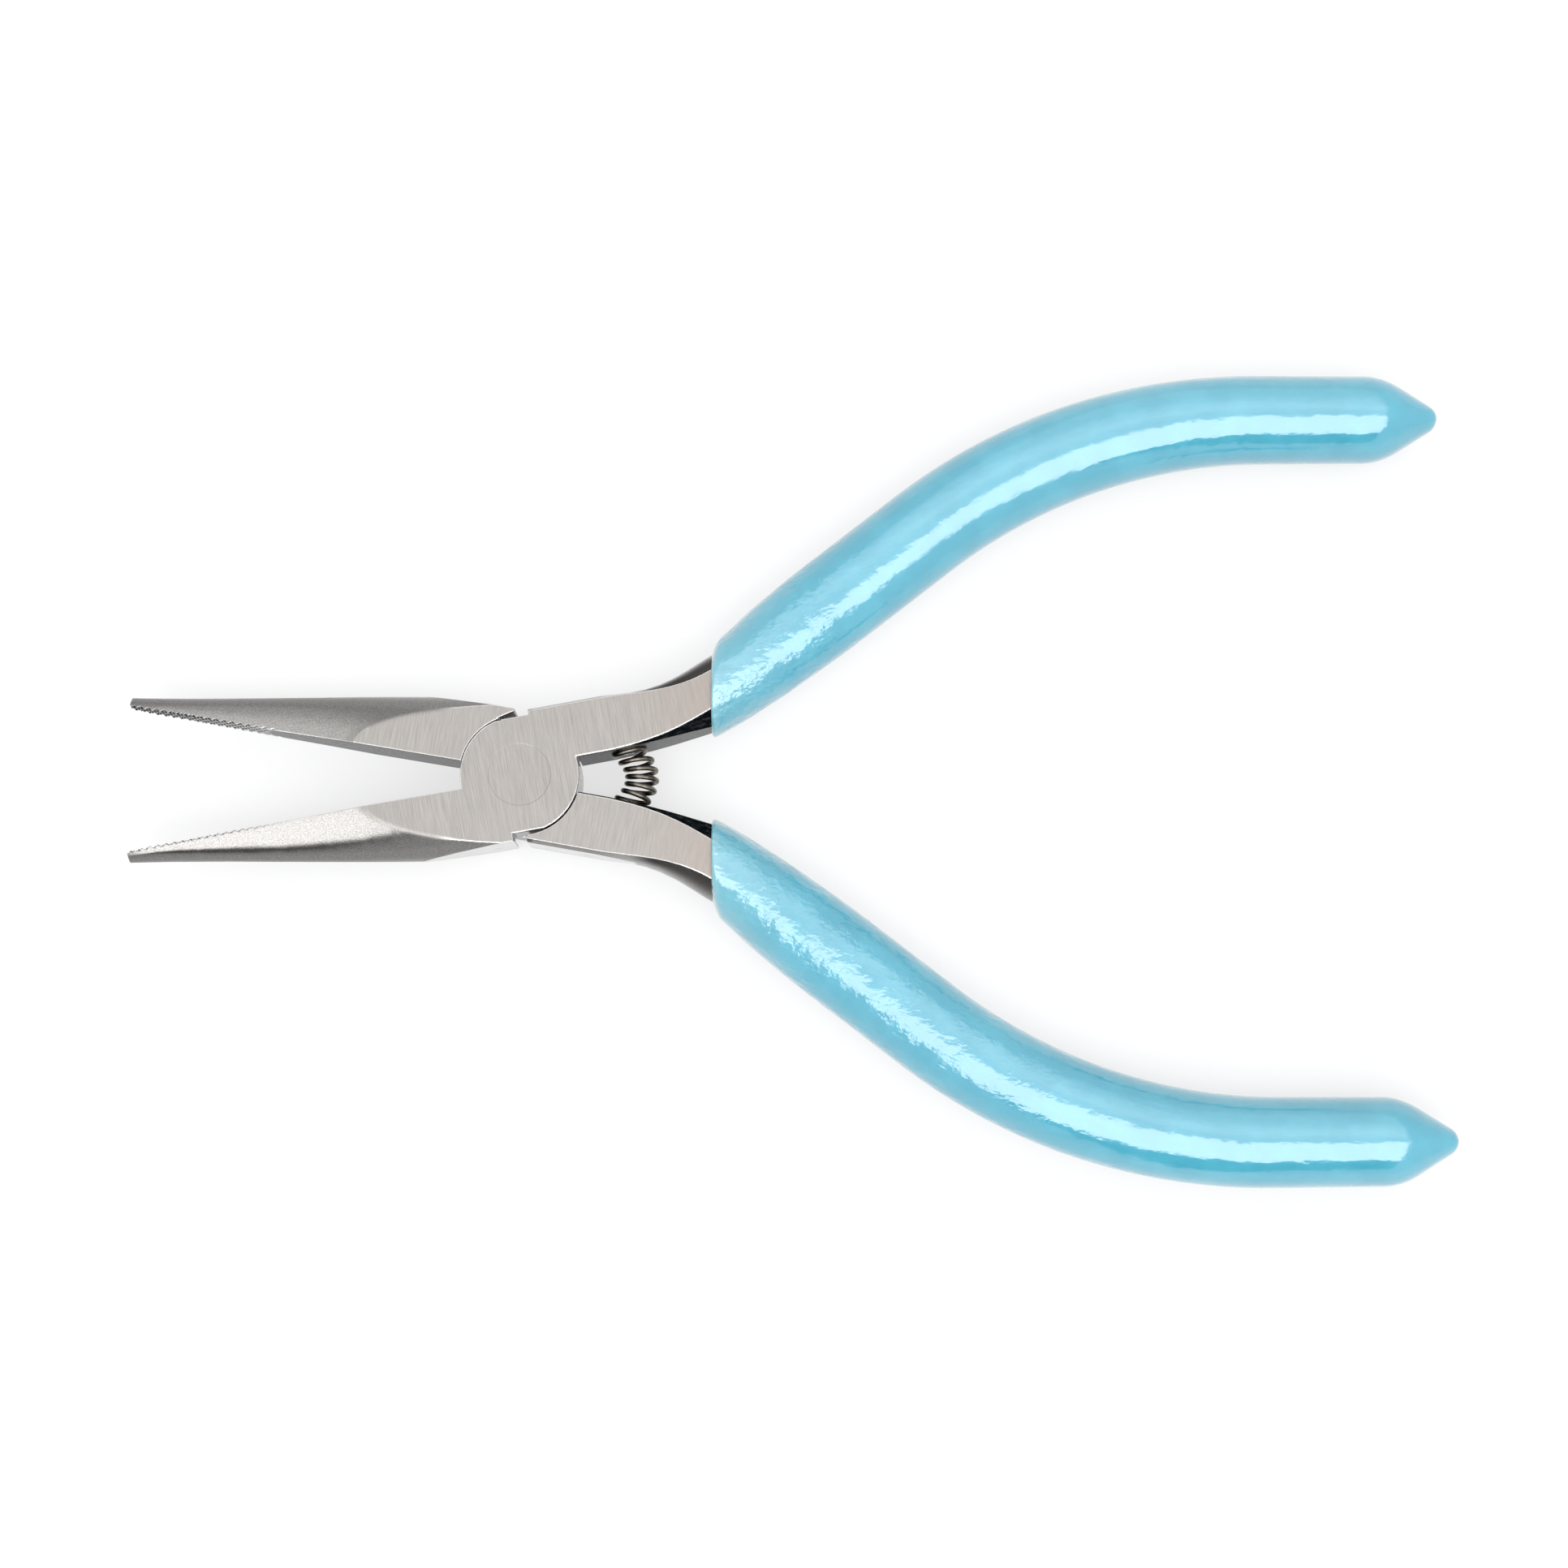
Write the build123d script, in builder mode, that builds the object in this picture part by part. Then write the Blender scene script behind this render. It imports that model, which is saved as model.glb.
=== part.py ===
"""Needle nose pliers: two crossed forgings, a rivet, a coil spring and two dipped grips.

Millimetres. The origin is on the hinge axis at the underside of the joint, +Z is up through
the joint, the jaws point along -X and the handles along +X. Each forging is drawn closed,
with its jaw's inner face along the X axis, and is then turned open about the hinge.
"""
import os
from math import cos, pi, radians, sin, tan

from build123d import *

# ---- joint ----
THICKNESS = 6.8               # both laps together, ground flat on top and underneath
MID = THICKNESS / 2
HALF_OPEN = 10.3              # each half is turned this far from closed, in degrees
LAP_GAP = 0.06                # running gap between the two laps
LAP_RADIUS = 5.62
LAP_CLEARANCE = 0.05          # between a lap's rim and the other half's recess, on the jaw side
LAP_HANDLE_CLEARANCE = 0.13   # and on the handle side
LAP_HALF_WIDTH = 5.43
LAP_EDGE_BREAK = 0.10
RECESS_RELIEF = [(-3.06, -4.89), (-1.2, -6.1), (0, -5.0)]   # opens the recess towards the notch
SIDE_HALF_WIDTH = 6.07        # the ground sides of the closed tool
JAW_SHOULDER_X = -1.65
HANDLE_SHOULDER_X = 1.8

# ---- jaw, measured from its inner face in the closed tool ----
JAW_TIP_X = -37.75
TIP_GAP = 0.02                # from the centre plane to the inner face, at the tip
THROAT_GAP = 0.35             # and at the throat
THROAT_X = -5.0
FORGING_SHIFT = -0.12         # the half-round forging sits slightly off the joint's mid height
# distance along the jaw, depth from the inner face, half height
JAW_SECTIONS = [
    (JAW_TIP_X, 1.12, 1.05),
    (-27.0, 3.00, 2.10),
    (-16.3, 5.02, 3.22),
    (-9.3, 6.26, 4.72),
    (-1.3, 7.55, 6.50),
]

# ---- serrations ----
TOOTH_ANGLE = 29.0            # the crossed grooves lean this far from straight across the jaw
TOOTH_PITCH = 0.68            # square to a groove
TOOTH_DEPTH = 0.26
TOOTH_HALF_WIDTH = 0.29
TOOTH_ROWS = 19
TOOTH_END_X = -24.6           # middle of the last groove

# ---- handle neck, from the joint to just inside the grip, in the closed tool ----
OVERCUT = 0.3                 # a blank stands this far past the ground faces
NECK_STRAIGHT = 9.5           # the neck is straight from under the lap to its first section
# distance along, inner wall, inner bevel, outer bulge at mid height, outer edge of the flats
NECK_SECTIONS = [
    (8.7, 0.62, 0.15, 6.38, 5.79),
    (11.5, 0.73, 0.24, 6.10, 5.67),
    (14.1, 0.90, 0.50, 6.35, 5.58),
    (16.9, 1.15, 1.05, 7.20, 5.80),
    (20.1, 1.42, 1.95, 8.46, 6.72),
]

# ---- rivet ----
RIVET_RADIUS = 2.0
RIVET_HEAD_RADIUS = 2.9
RIVET_HEAD_DEPTH = 0.9
RIVET_CLEARANCE = 0.03        # radial, in the half that turns on it

# ---- return spring and its blind seats ----
SPRING_SEAT_X = 10.35         # in the closed tool
SPRING_SEAT_RADIUS = 1.65
SPRING_SEAT_MOUTH = 0.68      # from the centre plane
SPRING_SEAT_FLOOR = 3.7
SPRING_RADIUS = 1.28          # to the middle of the wire
SPRING_WIRE = 0.40
SPRING_TURNS = 12.5
SPRING_POINTS = 6             # corners of the wire's path in one turn
SPRING_BOW = 1.55             # how far the free coils bulge towards the handles
SPRING_END_GAP = 0.35

# ---- handle line under the grip, in the closed tool ----
GRIP_START = (15.4, 3.40)
GRIP_START_HEADING = 20.2
GRIP_RISE_RADIUS = 90.0
GRIP_RISE_TURN = 7.2
GRIP_STRAIGHT = 18.2
PALM_RADIUS = 52.5
PALM_TURN = 37.8
GRIP_END_STRAIGHT = 17.2
GRIP_MOUTH_X = 17.95          # the grip's mouth is square to the open tool's centre line
GRIP_HALF_THICKNESS = 4.3

GRIP_MOUTH_HALF_WIDTH = 3.4
GRIP_HALF_WIDTH = 4.5
GRIP_END_HALF_WIDTH = 4.2
GRIP_FLARE_END = 0.23         # shares of the handle line
GRIP_TAPER_START = 0.50
GRIP_NOSE_START = 0.920
GRIP_NOSE_POWER = 1.5
GRIP_TIP_SCALE = 0.18
GRIP_STATIONS = 22
NOSE_STATIONS = 7
# share of the handle line, half width, half thickness of the steel under the grip
TANG_SECTIONS = [
    (0.06, 2.1, 2.6),
    (0.32, 2.5, 2.5),
    (0.58, 2.3, 2.3),
    (0.84, 1.9, 2.0),
]
TANG_CORNER = 0.8


def inner_face_y(x):
    """The jaw's inner face runs back from the tip and away from the centre plane."""
    share = (x - JAW_TIP_X) / (THROAT_X - JAW_TIP_X)
    return -(TIP_GAP + (THROAT_GAP - TIP_GAP) * share)


# ---- one forging, closed ----
with BuildPart() as jaw_blank:
    for x, depth, half_height in JAW_SECTIONS:
        section = Plane(origin=(x, 0, MID + FORGING_SHIFT), x_dir=(0, -1, 0), z_dir=(1, 0, 0))
        with BuildSketch(section):
            Ellipse(depth, half_height)
            Rectangle(depth + 1, 2 * half_height + 2, align=(Align.MIN, Align.CENTER), mode=Mode.INTERSECT)
    loft()


def neck_section(x, wall, bevel, bulge, flat_edge):
    """The neck's section: a flat inner wall with bevels and a round outer side."""
    top = MID + OVERCUT
    sagitta = bulge - flat_edge
    side_radius = (sagitta**2 + MID**2) / (2 * sagitta)
    top_y = bulge - side_radius + (side_radius**2 - top**2) ** 0.5
    with BuildSketch(Plane(origin=(x, 0, MID), x_dir=(0, 1, 0), z_dir=(1, 0, 0))) as section:
        with BuildLine():
            Polyline(
                (top_y, -top),
                (wall + bevel + OVERCUT, -top),
                (wall, bevel - MID),
                (wall, MID - bevel),
                (wall + bevel + OVERCUT, top),
                (top_y, top),
            )
            ThreePointArc((top_y, top), (bulge, 0), (top_y, -top))
        make_face()
    return section.sketch


with BuildPart() as neck_blank:
    extrude(neck_section(*NECK_SECTIONS[0]), amount=-NECK_STRAIGHT)
    loft([neck_section(*row) for row in NECK_SECTIONS])

with BuildLine(Plane.XY.offset(MID)) as handle_line:
    heading = radians(GRIP_START_HEADING)
    rise = JernArc(GRIP_START, (cos(heading), sin(heading)), GRIP_RISE_RADIUS, GRIP_RISE_TURN)
    straight = Line(rise @ 1, (rise @ 1) + (rise % 1) * GRIP_STRAIGHT)
    palm = JernArc(straight @ 1, straight % 1, PALM_RADIUS, -PALM_TURN)
    Line(palm @ 1, (palm @ 1) + (palm % 1) * GRIP_END_STRAIGHT)
handle_wire = handle_line.wire()


def handle_station(share):
    """A plane square to the handle line: its X runs across the handle, its Y is up."""
    return Plane(
        origin=handle_wire @ share,
        x_dir=(handle_wire % share).cross(Vector(0, 0, 1)),
        z_dir=-(handle_wire % share),
    )


with BuildPart() as tang:
    for share, half_width, half_thickness in TANG_SECTIONS:
        with BuildSketch(handle_station(share)):
            RectangleRounded(2 * half_width, 2 * half_thickness, TANG_CORNER)
    loft()

with BuildPart() as lap:
    with BuildSketch(Plane.XY.offset(MID + LAP_GAP / 2)):
        Circle(LAP_RADIUS)
        Rectangle(4 * LAP_RADIUS, 2 * LAP_HALF_WIDTH, mode=Mode.INTERSECT)
    extrude(amount=MID - LAP_GAP / 2)
    chamfer(lap.faces().sort_by(Axis.Z)[-1].edges(), LAP_EDGE_BREAK)

with BuildPart() as recess:
    with BuildSketch(Plane.XY):
        Circle(LAP_RADIUS + LAP_HANDLE_CLEARANCE)
        Rectangle(LAP_RADIUS + 1, 2 * LAP_RADIUS + 2, align=(Align.MIN, Align.CENTER), mode=Mode.INTERSECT)
        Circle(LAP_RADIUS + LAP_CLEARANCE)
        Polygon(*RECESS_RELIEF, align=None)
    extrude(amount=MID + LAP_GAP / 2)


def tooth_plane(lean):
    """Square to one set of grooves: its X runs along the jaw and its Y out of the inner face."""
    x = TOOTH_END_X - TOOTH_ROWS * TOOTH_PITCH / cos(radians(lean)) / 2
    return Plane(
        origin=(x, inner_face_y(x), MID + FORGING_SHIFT),
        x_dir=(cos(radians(lean)), 0, -sin(radians(lean))),
        z_dir=(sin(radians(lean)), 0, cos(radians(lean))),
    )


with BuildPart() as forging:
    add(jaw_blank.part)
    # the jaw ends at its shoulder
    with Locations((JAW_SHOULDER_X, 0, MID)):
        Box(40, 40, 40, align=(Align.MIN, Align.CENTER, Align.CENTER), mode=Mode.SUBTRACT)
    # inner face, slightly relieved towards the throat
    with BuildSketch(Plane.XY.offset(-THICKNESS)):
        Polygon(
            (JAW_TIP_X - 2, inner_face_y(JAW_TIP_X - 2)),
            (0, inner_face_y(0)),
            (0, 5),
            (JAW_TIP_X - 2, 5),
            align=None,
        )
    extrude(amount=3 * THICKNESS, mode=Mode.SUBTRACT)
    add(neck_blank.part)
    add(tang.part)
    # notch between the lap's flat edge and the handle's shoulder
    with BuildSketch(Plane.XY.offset(-THICKNESS)):
        with Locations((HANDLE_SHOULDER_X, LAP_HALF_WIDTH)):
            Rectangle(6, 6, align=(Align.MAX, Align.MIN))
    extrude(amount=3 * THICKNESS, mode=Mode.SUBTRACT)
    # ground top, underside and sides
    for height in (THICKNESS, -THICKNESS):
        with Locations((0, 0, height)):
            Box(200, 60, THICKNESS, align=(Align.CENTER, Align.CENTER, Align.MIN), mode=Mode.SUBTRACT)
    for side in (-1, 1):
        with Locations((0, side * (SIDE_HALF_WIDTH + 3), MID)):
            Box(24, 6, 2 * THICKNESS, mode=Mode.SUBTRACT)
    add(recess.part, mode=Mode.SUBTRACT)
    add(lap.part)
    # blind seat for the spring
    with BuildSketch(Plane.XZ.offset(-SPRING_SEAT_FLOOR)):
        with Locations((SPRING_SEAT_X, MID)):
            Circle(SPRING_SEAT_RADIUS)
    extrude(amount=SPRING_SEAT_FLOOR, mode=Mode.SUBTRACT)
    # crossed grooves leave rows of diamond teeth
    for lean in (-TOOTH_ANGLE, TOOTH_ANGLE):
        with BuildSketch(tooth_plane(lean)):
            with GridLocations(TOOTH_PITCH, 0, TOOTH_ROWS, 1):
                Polygon(
                    (-TOOTH_HALF_WIDTH * 2, TOOTH_DEPTH),
                    (0, -TOOTH_DEPTH),
                    (TOOTH_HALF_WIDTH * 2, TOOTH_DEPTH),
                    align=None,
                )
        extrude(amount=THICKNESS, both=True, mode=Mode.SUBTRACT)

turn_front = Location((0, 0, 0), (0, 0, HALF_OPEN))
turn_back = Location((0, 0, 0), (0, 0, -HALF_OPEN)) * Location((0, 0, THICKNESS), (180, 0, 0))


def rivet_outline(clearance):
    """Half of the countersunk rivet's section, grown by a clearance all round."""
    shank = RIVET_RADIUS + clearance
    head = RIVET_HEAD_RADIUS + clearance
    return [
        (0, 0),
        (head, 0),
        (shank, RIVET_HEAD_DEPTH),
        (shank, THICKNESS - RIVET_HEAD_DEPTH),
        (head, THICKNESS),
        (0, THICKNESS),
    ]


with BuildPart() as pivot_rivet:
    with BuildSketch(Plane.XZ):
        Polygon(*rivet_outline(0), align=None)
    revolve(axis=Axis.Z)

with BuildPart() as front_half:
    with Locations(turn_front):
        add(forging.part)
    with BuildSketch(Plane.XZ):
        Polygon(*rivet_outline(0), align=None)
    revolve(axis=Axis.Z, mode=Mode.SUBTRACT)

with BuildPart() as back_half:
    with Locations(turn_back):
        add(forging.part)
    with BuildSketch(Plane.XZ):
        Polygon(*rivet_outline(RIVET_CLEARANCE), align=None)
    revolve(axis=Axis.Z, mode=Mode.SUBTRACT)

# ---- return spring ----
seat_mouth = (turn_front * Location((SPRING_SEAT_X, SPRING_SEAT_MOUTH, 0))).position
seat_floor = (turn_front * Location((SPRING_SEAT_X, SPRING_SEAT_FLOOR - SPRING_END_GAP, 0))).position
half_step = pi / SPRING_POINTS
corner_radius = SPRING_RADIUS / cos(half_step)


def spring_point(turn):
    """A corner of the wire's path; the coils are straight in the seats and bow out between them."""
    share = 2 * turn / SPRING_TURNS - 1
    y = share * seat_floor.Y
    if abs(y) > seat_mouth.Y:
        x = seat_mouth.X - (abs(y) - seat_mouth.Y) * tan(radians(HALF_OPEN))
    else:
        x = seat_mouth.X + SPRING_BOW * (1 - (y / seat_mouth.Y) ** 2)
    tilt = radians(HALF_OPEN) * max(-1, min(1, y / seat_mouth.Y))
    across = corner_radius * cos(2 * pi * turn)
    up = corner_radius * sin(2 * pi * turn)
    return Vector(x + across * cos(tilt), y + across * sin(tilt), MID + up)


corner_count = round(SPRING_TURNS * SPRING_POINTS)
wire_corners = [spring_point(i / SPRING_POINTS) for i in range(corner_count + 1)]
bend_radius = 0.9 * corner_radius * sin(half_step) / tan(half_step)

with BuildPart() as return_spring:
    with BuildLine() as wire_path:
        FilletPolyline(*wire_corners, radius=bend_radius)
    with BuildSketch(Plane(origin=wire_path.line @ 0, z_dir=wire_path.line % 0)):
        Circle(SPRING_WIRE / 2)
    sweep(path=wire_path.wire())


# ---- grips ----
def ease(share):
    """A smooth step from 0 to 1."""
    share = max(0, min(1, share))
    return share * share * (3 - 2 * share)


def grip_size(share):
    """Half width and half thickness of the dipped grip at a share of the handle line."""
    flare = ease(0.5 + share / GRIP_FLARE_END / 2) * 2 - 1
    taper = ease((share - GRIP_TAPER_START) / (GRIP_NOSE_START - GRIP_TAPER_START))
    width = GRIP_MOUTH_HALF_WIDTH + (GRIP_HALF_WIDTH - GRIP_MOUTH_HALF_WIDTH) * flare
    width -= (GRIP_HALF_WIDTH - GRIP_END_HALF_WIDTH) * taper
    into_nose = max(0, (share - GRIP_NOSE_START) / (1 - GRIP_NOSE_START))
    scale = 1 - (1 - GRIP_TIP_SCALE) * into_nose**GRIP_NOSE_POWER
    return width * scale, GRIP_HALF_THICKNESS * scale


body_shares = [GRIP_NOSE_START * i / GRIP_STATIONS for i in range(GRIP_STATIONS)]
nose_shares = [1 - (1 - GRIP_NOSE_START) * (1 - i / NOSE_STATIONS) for i in range(NOSE_STATIONS + 1)]

with BuildPart() as grip_blank:
    for share in body_shares + nose_shares:
        half_width, half_thickness = grip_size(share)
        with BuildSketch(handle_station(share)):
            Ellipse(half_width, half_thickness)
    loft(ruled=True)

with BuildPart() as front_grip:
    with Locations(turn_front):
        add(grip_blank.part)
    split(bisect_by=Plane.YZ.offset(GRIP_MOUTH_X), keep=Keep.TOP)
    add(front_half.part, mode=Mode.SUBTRACT)

with BuildPart() as back_grip:
    with Locations(turn_back):
        add(grip_blank.part)
    split(bisect_by=Plane.YZ.offset(GRIP_MOUTH_X), keep=Keep.TOP)
    add(back_half.part, mode=Mode.SUBTRACT)

pieces = {
    "front_half": front_half,
    "back_half": back_half,
    "pivot_rivet": pivot_rivet,
    "return_spring": return_spring,
    "front_grip": front_grip,
    "back_grip": back_grip,
}
os.makedirs("parts", exist_ok=True)
for name, piece in pieces.items():
    piece.part.label = name
    export_step(piece.part, f"parts/{name}.step")
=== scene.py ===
"""Looks of the needle nose pliers: ground and satin steel, a coil spring and two dipped grips.

Metres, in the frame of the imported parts: the hinge axis is Z, the jaws point along -X.
Sizes are written in millimetres and multiplied by MM where they are used.
"""
from math import cos, pi, radians, sin, sqrt, tan
from types import SimpleNamespace

import bpy
from mathutils import Matrix, Vector


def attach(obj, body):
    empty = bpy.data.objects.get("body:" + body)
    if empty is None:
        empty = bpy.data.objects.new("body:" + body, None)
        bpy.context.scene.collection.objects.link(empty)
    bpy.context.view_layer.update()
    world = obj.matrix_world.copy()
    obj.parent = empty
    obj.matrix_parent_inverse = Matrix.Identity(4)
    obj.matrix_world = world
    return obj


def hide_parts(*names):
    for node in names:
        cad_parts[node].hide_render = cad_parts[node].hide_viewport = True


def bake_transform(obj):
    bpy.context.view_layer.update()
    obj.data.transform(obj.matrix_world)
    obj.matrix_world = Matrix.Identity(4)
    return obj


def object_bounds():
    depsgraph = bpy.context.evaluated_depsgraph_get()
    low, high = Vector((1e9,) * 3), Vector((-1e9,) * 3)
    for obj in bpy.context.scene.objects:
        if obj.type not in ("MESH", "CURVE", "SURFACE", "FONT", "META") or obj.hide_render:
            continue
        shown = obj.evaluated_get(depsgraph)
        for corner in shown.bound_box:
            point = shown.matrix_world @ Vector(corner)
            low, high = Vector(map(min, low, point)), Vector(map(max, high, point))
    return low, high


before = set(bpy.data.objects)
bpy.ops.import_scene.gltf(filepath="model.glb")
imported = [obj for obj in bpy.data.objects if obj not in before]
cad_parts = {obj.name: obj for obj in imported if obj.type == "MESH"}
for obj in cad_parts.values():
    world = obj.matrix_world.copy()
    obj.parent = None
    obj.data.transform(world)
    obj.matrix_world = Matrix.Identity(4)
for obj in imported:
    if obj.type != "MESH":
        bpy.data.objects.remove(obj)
cad_low, cad_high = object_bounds()

MM = 0.001
JOINT_TOP = 6.8               # the ground top; the ground underside is at 0
HALF_OPEN = radians(10.3)     # each half is turned this far from closed

# ---- handle line under a grip, in the closed tool ----
LINE_START = (15.4, 3.40)
LINE_HEADING = radians(20.2)
RISE_RADIUS = 90.0
RISE_TURN = radians(7.2)
STRAIGHT = 18.2
PALM_RADIUS = 52.5
PALM_TURN = radians(37.8)
END_STRAIGHT = 17.2
LINE_LENGTH = RISE_RADIUS * RISE_TURN + STRAIGHT + PALM_RADIUS * PALM_TURN + END_STRAIGHT

# ---- grips ----
MOUTH_X = 17.95               # the mouth is square to the open tool's centre line
MOUTH_HALF_WIDTH = 3.45
GRIP_HALF_WIDTH = 4.5
GRIP_END_HALF_WIDTH = 4.2
GRIP_HALF_THICKNESS = 4.3
FLARE_LENGTH = 14.8           # over which the grip widens behind its mouth
FLARE_SOFTNESS = 2.6          # how gradually that widening ends
SLANT_LENGTH = 9.0            # over which its sections turn square to the handle line
TAPER_START = 37.0
NOSE_LENGTH = 6.6
NOSE_TIP_RADIUS = 1.45        # a ball at the very tip, with a cone tangent to it
NOSE_CONE_SLOPE = 0.63
NOSE_THICKNESS_POWER = 0.75   # seen from the side the nose is blunter than from above
NOSE_SHOULDER = 1.1           # how softly the cone meets the grip's sides
LIP_RADIUS = 0.40             # of the rolled mouth, above and below
LIP_SIDE_RADIUS = 0.60        # more of it at both sides
LIP_OUTER_RADIUS = 0.40       # and more still on the outer side
GRIP_RING = 96                # points round a grip
LIP_STEPS = 10                # rings along the rolled mouth
BODY_STEPS = 120
NOSE_STEPS = 36

# ---- return spring ----
SPRING_SEAT_X = 10.35         # in the closed tool
SPRING_MOUTH = 0.68           # of its seat, from the centre line
SPRING_FLOOR = 3.35           # of its seat, where the spring ends
SPRING_RADIUS = 1.40
SPRING_WIRE_RADIUS = 0.24
SPRING_TURNS = 12.5
SPRING_TURN_STEPS = 40
SPRING_WIRE_SIDES = 14
SPRING_BOW = 1.30             # of its middle, away from the joint
SPRING_END_LEAN = radians(22)  # of the coils in the seats

# ---- steel: places on a forging, in the frame it is drawn in, closed ----
JAW_FACE_LINE = (-0.01008, -0.4004)   # slope and offset of the jaw's inner face
JAW_HALF_HEIGHT = (0.1012, 4.87)      # slope and offset of that face's half height
WORN_EDGE_RADIUS = 0.15
CONE_BLEND_RADIUS = 0.40      # more, where a cone meets a flat
STEEL_RELIEF = 0.015          # height of the fine grain
UNEVEN_BORDER = 0.10          # how much the flats' borders wander
# each pair runs from where a finish or a painted mark is absent to where it is full
TEETH_X = (-24.2, -24.4)
GROOVE_DEPTH = (0.02, 0.11)
EDGE_HIGHLIGHT_X = (-26.0, -23.5)       # the painted edge highlight is fainter beside the teeth
EDGE_HIGHLIGHT_FROM_AXIS = (3.2, 4.0)   # and there is none around the rivet
CONE_X = (-6.0, -9.0)
CONE_Y = (-1.0, -2.2)
LAP_RIM_FROM_AXIS = ((5.44, 5.50), (5.82, 5.76))
LAP_RIM_X = (1.5, 0.0)
NOTCH_X = (2.5, 2.1)
NOTCH_Y = ((4.9, 5.2), (6.04, 6.00))
FLAT_HEIGHT = (3.20, 3.37)    # from mid height
SIDE_X = (12.2, 11.9)
SIDE_Y = (6.04, 6.06)
JAW_FACE_X = (-4.0, -5.0)
# a painted dark band of shade under the jaw's rim
SHADE_BAND_BELOW_RIM = (1.0, 0.5)
INNER_WALL_X = (4.5, 5.0)
INNER_WALL_Y = (3.2, 2.8)
# painted shade on the inner walls towards the joint
JOINT_SHADE_X = (13.0, 11.0)
SKIN_X = (10.5, 11.5)
SKIN_Y = (4.4, 4.0)
# painted shade on the outer bevel, deeper towards its top and bottom
OUTER_BEVEL_X = (11.0, 14.0)
OUTER_BEVEL_HEIGHT = (1.3, 2.9)
WARM_X = (9.0, 20.0)
# and so do these, for how squarely a surface faces a direction
FACING = (0.85, 0.97)
SQUARELY_FACING = (0.97, 0.995)
PARTLY_FACING = (0.25, 0.40)

# ---- camera and light ----
CAMERA_PLACE = (23.53, -37.08, 295.65)
CAMERA_TILT = radians(7.12)
CAMERA_YAW = radians(-0.22)
CAMERA_ROLL = radians(-0.24)
CAMERA_LENS = 71.33
SOFTBOX_LIGHT = 4.7
# degrees from straight up towards the near side, and the light that comes from there
TENT_PROFILE = (
    (-90, 1.25),
    (-53, 1.45),
    (-39, 1.95),
    (-21, 2.45),
    (-7, 1.9),
    (2, 1.9),
    (4, SOFTBOX_LIGHT),
    (50, SOFTBOX_LIGHT),
    (52, 0.12),
    (84, 0.12),
    (90, 0.6),
)
# where the profile gives way to the plainer walls, to the right and to the left
SIDE_WALL_ANGLES = ((radians(36), radians(42)), (radians(-29), radians(-34)))
SIDE_WALL_LIGHT = 1.0
HORIZON_LIGHT = 0.95          # the paper's own brightness, close to the floor


def smooth(share):
    """A smooth step from 0 to 1."""
    share = max(0.0, min(1.0, share))
    return share * share * (3 - 2 * share)


def soft_min(a, b, width):
    """The smaller of two values, rounded where they cross."""
    share = max(0.0, min(1.0, 0.5 + (b - a) / (2 * width)))
    return b + (a - b) * share - width * share * (1 - share)


# ---------------------------------------------------------------- node helpers
class Shader:
    """A short way to build a material's node tree."""

    def __init__(self, name):
        self.material = bpy.data.materials.new(name)
        self.material.use_nodes = True
        self.tree = self.material.node_tree
        self.surface = self.tree.nodes["Principled BSDF"]

    def node(self, kind, **settings):
        made = self.tree.nodes.new("ShaderNode" + kind)
        for key, value in settings.items():
            setattr(made, key, value)
        return made

    def put(self, socket, value):
        if isinstance(value, bpy.types.NodeSocket):
            self.tree.links.new(value, socket)
        else:
            socket.default_value = value

    def math(self, operation, a, b=0.0, c=0.0, clamp=False):
        made = self.node("Math", operation=operation, use_clamp=clamp)
        for socket, value in zip(made.inputs, (a, b, c)):
            self.put(socket, value)
        return made.outputs[0]

    def all_of(self, *masks):
        """The product of the masks."""
        product = masks[0]
        for mask in masks[1:]:
            product = self.math("MULTIPLY", product, mask)
        return product

    def any_of(self, *masks):
        """The largest of the masks."""
        largest = masks[0]
        for mask in masks[1:]:
            largest = self.math("MAXIMUM", largest, mask)
        return largest

    def ramp(self, value, low, high, out_low=0.0, out_high=1.0):
        """Maps low..high to out_low..out_high with a smooth step."""
        made = self.node("MapRange", interpolation_type="SMOOTHSTEP")
        for socket, number in zip(made.inputs, (value, low, high, out_low, out_high)):
            self.put(socket, number)
        return made.outputs[0]

    def mix(self, share, a, b):
        made = self.node("Mix", data_type="RGBA")
        self.put(made.inputs[0], share)
        self.put(made.inputs[6], a)
        self.put(made.inputs[7], b)
        return made.outputs[2]

    def noise(self, place, scale, detail=2.0, roughness=0.5, stretch=(1, 1, 1)):
        spread = self.node("Mapping")
        self.put(spread.inputs["Vector"], place)
        spread.inputs["Scale"].default_value = [scale * share for share in stretch]
        made = self.node("TexNoise")
        self.put(made.inputs["Vector"], spread.outputs[0])
        made.inputs["Scale"].default_value = 1.0
        made.inputs["Detail"].default_value = detail
        made.inputs["Roughness"].default_value = roughness
        return made.outputs[0]

    def flattened(self, x, y):
        made = self.node("CombineXYZ")
        self.put(made.inputs[0], x)
        self.put(made.inputs[1], y)
        return made.outputs[0]

    def split(self, vector):
        made = self.node("SeparateXYZ")
        self.put(made.inputs[0], vector)
        return made.outputs

    def bump(self, height, distance, strength=1.0, normal=None):
        made = self.node("Bump")
        made.inputs["Strength"].default_value = strength
        made.inputs["Distance"].default_value = distance
        self.put(made.inputs["Height"], height)
        if normal is not None:
            self.put(made.inputs["Normal"], normal)
        return made.outputs[0]


def grey(value, warmth=0.0):
    """A linear colour that is a little warmer than neutral."""
    return (value * (1 + warmth), value, value * (1 - warmth), 1.0)


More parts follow.
